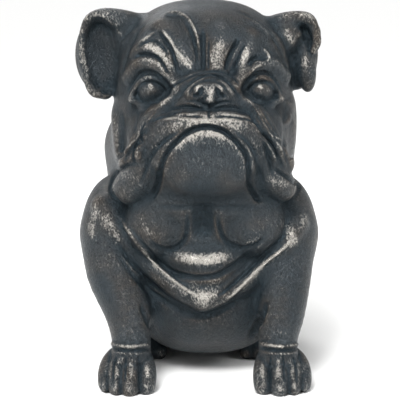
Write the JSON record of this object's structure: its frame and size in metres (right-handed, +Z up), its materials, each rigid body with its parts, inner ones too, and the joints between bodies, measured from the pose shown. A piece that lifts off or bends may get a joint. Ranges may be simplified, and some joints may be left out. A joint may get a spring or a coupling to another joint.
{
  "type": "garden statue",
  "caption": "Seated bulldog garden statue, cast in one piece, with folded face, hanging lips, pricked ears and a flat underside to stand on.",
  "frame": {"origin": "on the ground plane, under the middle of the statue's bounding box", "axes": "+Z up, -Y the way the dog faces, +X to the right of a viewer who faces the dog"},
  "size_m": [0.1972, 0.243, 0.3],
  "materials": {
    "patina": "cast resin with a dark bronze-grey patina, silver rubbed on the raised parts"
  },
  "bodies": {
    "root": {"bulldog_statue": "patina"}
  },
  "joints": []
}
